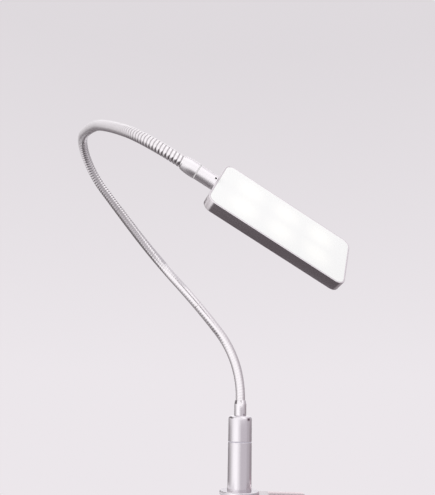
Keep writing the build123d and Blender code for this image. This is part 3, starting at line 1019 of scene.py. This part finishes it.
def studio_ring(back, *stops):
    """Colours round the studio, from behind the lamp by its left, front and right to behind it again."""
    ring = studio.nodes.new("ShaderNodeValToRGB")
    ring.color_ramp.elements[0].color = (*back, 1)
    ring.color_ramp.elements[1].color = (*back, 1)
    for position, colour in stops:
        ring.color_ramp.elements.new(position).color = (*colour, 1)
    return ring


lower_walls = studio_ring(
    (1.3, 1.26, 1.3),
    (0.035, (1.3, 1.26, 1.3)),
    (0.05, (0.42, 0.39, 0.41)),
    (0.065, (0.24, 0.22, 0.23)),
    (0.1, (0.27, 0.25, 0.26)),
    (0.165, (0.42, 0.4, 0.41)),
    (0.225, (0.62, 0.6, 0.61)),
    (0.285, (0.98, 0.97, 0.98)),
    (0.335, (1.2, 1.19, 1.2)),
    (0.56, (1.25, 1.24, 1.25)),
    (0.62, (0.95, 0.92, 0.95)),
    (0.68, (0.6, 0.57, 0.59)),
    (0.8, (0.38, 0.34, 0.36)),
    (0.915, (0.34, 0.31, 0.325)),
    (0.95, (0.42, 0.39, 0.41)),
    (0.965, (1.3, 1.26, 1.3)),
)
upper_walls = studio_ring(
    (0.86, 0.84, 0.87),
    (0.02, (0.86, 0.84, 0.87)),
    (0.035, (0.24, 0.22, 0.23)),
    (0.09, (0.27, 0.25, 0.26)),
    (0.13, (0.7, 0.68, 0.69)),
    (0.25, (0.85, 0.83, 0.84)),
    (0.33, (1.15, 1.14, 1.15)),
    (0.61, (1.15, 1.14, 1.15)),
    (0.7, (0.7, 0.66, 0.69)),
    (0.76, (0.56, 0.52, 0.55)),
    (0.9, (0.5, 0.47, 0.5)),
    (0.95, (0.6, 0.57, 0.6)),
    (0.98, (0.86, 0.84, 0.87)),
)
ceiling = studio_ring(
    (1.25, 1.24, 1.25),
    (0.11, (1.25, 1.24, 1.25)),
    (0.15, (0.9, 0.88, 0.9)),
    (0.36, (1.1, 1.09, 1.1)),
    (0.5, (1.2, 1.19, 1.2)),
    (0.62, (1.35, 1.34, 1.35)),
    (0.69, (1.3, 1.28, 1.3)),
    (0.75, (0.85, 0.82, 0.85)),
    (0.87, (0.8, 0.77, 0.8)),
    (0.91, (1.1, 1.08, 1.1)),
    (0.98, (1.25, 1.24, 1.25)),
)


def studio_level(low, high):
    """How far a direction has risen from one height to another, as a share."""
    level = studio.nodes.new("ShaderNodeMapRange")
    level.interpolation_type = "SMOOTHSTEP"
    level.inputs["From Min"].default_value = low
    level.inputs["From Max"].default_value = high
    return level


to_upper = studio_level(-0.03, 0.08)
to_ceiling = studio_level(0.2, 0.75)
to_floor = studio_level(-0.6, -0.8)
with_upper = studio.nodes.new("ShaderNodeMix")
with_upper.data_type = "RGBA"
with_ceiling = studio.nodes.new("ShaderNodeMix")
with_ceiling.data_type = "RGBA"
with_floor = studio.nodes.new("ShaderNodeMix")
with_floor.data_type = "RGBA"
with_floor.inputs["B"].default_value = (0.12, 0.104, 0.112, 1)
pale_share = studio.nodes.new("ShaderNodeMapRange")
pale_share.inputs["From Min"].default_value = 0.05
pale_share.inputs["From Max"].default_value = 0.6
pale = studio.nodes.new("ShaderNodeMix")
pale.data_type = "RGBA"
pale.inputs["A"].default_value = (0.838, 0.799, 0.831, 1)
pale.inputs["B"].default_value = (0.735, 0.7, 0.728, 1)
world_ray = studio.nodes.new("ShaderNodeLightPath")
shown = studio.nodes.new("ShaderNodeMix")
shown.data_type = "RGBA"
lit_by = studio.nodes.new("ShaderNodeMix")
lit_by.data_type = "RGBA"
lit_by.inputs["B"].default_value = (0.62, 0.6, 0.615, 1)
link_nodes(
    studio,
    (way.outputs["Generated"], parts.inputs[0]),
    (parts.outputs["Y"], flip.inputs[0]),
    (parts.outputs["X"], turn.inputs[0]),
    (flip.outputs[0], turn.inputs[1]),
    (turn.outputs[0], turn_share.inputs["Value"]),
    (turn_share.outputs["Result"], lower_walls.inputs["Fac"]),
    (turn_share.outputs["Result"], upper_walls.inputs["Fac"]),
    (turn_share.outputs["Result"], ceiling.inputs["Fac"]),
    (parts.outputs["Z"], to_upper.inputs["Value"]),
    (parts.outputs["Z"], to_ceiling.inputs["Value"]),
    (parts.outputs["Z"], to_floor.inputs["Value"]),
    (to_upper.outputs["Result"], with_upper.inputs["Factor"]),
    (lower_walls.outputs["Color"], with_upper.inputs["A"]),
    (upper_walls.outputs["Color"], with_upper.inputs["B"]),
    (to_ceiling.outputs["Result"], with_ceiling.inputs["Factor"]),
    (with_upper.outputs["Result"], with_ceiling.inputs["A"]),
    (ceiling.outputs["Color"], with_ceiling.inputs["B"]),
    (to_floor.outputs["Result"], with_floor.inputs["Factor"]),
    (with_ceiling.outputs["Result"], with_floor.inputs["A"]),
    (parts.outputs["Z"], pale_share.inputs["Value"]),
    (pale_share.outputs["Result"], pale.inputs["Factor"]),
    (world_ray.outputs["Is Diffuse Ray"], lit_by.inputs["Factor"]),
    (with_floor.outputs["Result"], lit_by.inputs["A"]),
    (world_ray.outputs["Is Camera Ray"], shown.inputs["Factor"]),
    (lit_by.outputs["Result"], shown.inputs["A"]),
    (pale.outputs["Result"], shown.inputs["B"]),
    (shown.outputs["Result"], backdrop.inputs["Color"]),
)


def grey_card(name, outline, bottom, top, colour):
    """A card that stands on edge in the studio and is seen only as a reflection in the metal."""
    shape = bmesh.new()
    low_edge = [shape.verts.new((x, y, bottom)) for x, y in outline]
    high_edge = [shape.verts.new((x, y, top)) for x, y in outline]
    for k in range(len(outline) - 1):
        shape.faces.new((low_edge[k], low_edge[k + 1], high_edge[k + 1], high_edge[k]))
    mesh = bpy.data.meshes.new(name)
    shape.to_mesh(mesh)
    shape.free()
    card = bpy.data.objects.new(name, mesh)
    scene.collection.objects.link(card)
    card.visible_camera = False
    card.visible_diffuse = False
    card.visible_shadow = False
    paint = bpy.data.materials.new(name)
    paint.use_nodes = True
    surface = paint.node_tree.nodes["Principled BSDF"]
    surface.inputs["Base Color"].default_value = (0, 0, 0, 1)
    surface.inputs["Specular IOR Level"].default_value = 0
    surface.inputs["Emission Color"].default_value = (*colour, 1)
    surface.inputs["Emission Strength"].default_value = 1
    mesh.materials.append(paint)


def arc_round_post(reach, first, last):
    """The plan of a card that bends round the post, between two angles in degrees."""
    plan = []
    for k in range(9):
        angle = radians(first + (last - first) * k / 8)
        plan.append((post_place.translation.x + reach * sin(angle), -reach * cos(angle)))
    return plan


post_cards = (
    (-22, -8, (1, 0.98, 1)),
    (-8, 4, (0.8, 0.78, 0.8)),
    (4, 64, (0.62, 0.585, 0.62)),
    (64, 94, (0.52, 0.485, 0.515)),
)
for first, last, colour in post_cards:
    grey_card("card_round_post", arc_round_post(0.1, first, last), -0.03, 0.084, colour)
shoulder_cards = (
    (44, 52, (0.4, 0.36, 0.38)),
    (52, 67, (0.1, 0.07, 0.085)),
    (67, 74, (0.32, 0.28, 0.3)),
)
for first, last, colour in shoulder_cards:
    grey_card("card_round_shoulder", arc_round_post(0.0155, first, last), 0.0738, 0.0782, colour)
before_neck = [(-0.2, -0.06), (-0.062, -0.06)]
beside_neck = [(-0.04, -0.05), (-0.04, 0.09)]
behind_handle = [(0.058, 0.019), (0.11, 0.019)]
grey_card("card_before_neck", before_neck, 0.205, 0.276, (0.62, 0.6, 0.62))
grey_card("card_before_bend", before_neck, 0.276, 0.32, (0.46, 0.44, 0.46))
grey_card("card_before_neck_back", [(-0.2, -0.062), (-0.062, -0.062)], 0.205, 0.32, (0.24, 0.22, 0.23))
grey_card("card_right_of_neck", beside_neck, 0.225, 0.3, (0.62, 0.6, 0.63))
grey_card("card_right_of_low_neck", [(0, -0.085), (0, 0.035)], 0.219, 0.28, (0.78, 0.76, 0.79))
grey_card("card_right_of_bend", beside_neck, 0.3, 0.4, (0.47, 0.45, 0.47))
grey_card("card_left_of_neck", [(-0.2, -0.06), (-0.2, 0.1), (-0.09, 0.2)], 0.12, 0.27, (0.2, 0.185, 0.19))
grey_card("card_beside_bend", [(-0.148, -0.044), (-0.148, -0.008)], 0.285, 0.327, (0.85, 0.83, 0.85))
grey_card("card_behind_cap", [(-0.01, 0.1), (0.07, 0.1)], 0.055, 0.125, (1.3, 1.28, 1.3))
grey_card("card_behind_handle", behind_handle, 0.0127, 0.022, (0.4, 0.32, 0.35))
grey_card("card_low_behind_handle", behind_handle, 0.0105, 0.0127, (1.2, 1.09, 1.13))
grey_card("card_left_of_flange", [(-0.03, -0.05), (-0.03, 0.07)], -0.03, 0.0065, (0.9, 0.88, 0.9))
soft_light = bpy.data.lights.new("soft light", "AREA")
soft_light.shape = "RECTANGLE"
soft_light.size = 0.7
soft_light.size_y = 0.9
soft_light.energy = 4.5
soft_box = bpy.data.objects.new("soft light", soft_light)
soft_box.location = (-0.75, -0.75, 0.75)
lamp_middle = Vector((0, -0.08, 0.12))
soft_box.rotation_euler = (lamp_middle - soft_box.location).to_track_quat("-Z", "Y").to_euler()
soft_box.visible_glossy = False
scene.collection.objects.link(soft_box)


# Camera: at the reader's side, a little above the clip and looking up at the head. Its focal length is
# given in pixels of a picture 495 pixels high.
focal_pixels = 520
picture_height = 495
view = bpy.data.cameras.new("reader's view")
view.sensor_width = 36
view.lens = 36 * focal_pixels / picture_height
view.clip_start = 0.01
camera = bpy.data.objects.new("reader's view", view)
lift = Matrix.Rotation(radians(90 + 16.58), 4, "X")
lean = Matrix.Rotation(radians(1.474), 4, "Z")
camera.matrix_world = Matrix.Translation(Vector((4.65, -512.6, 89.2)) * mm) @ lift @ lean
scene.collection.objects.link(camera)
scene.camera = camera
scene.view_settings.view_transform = "Standard"
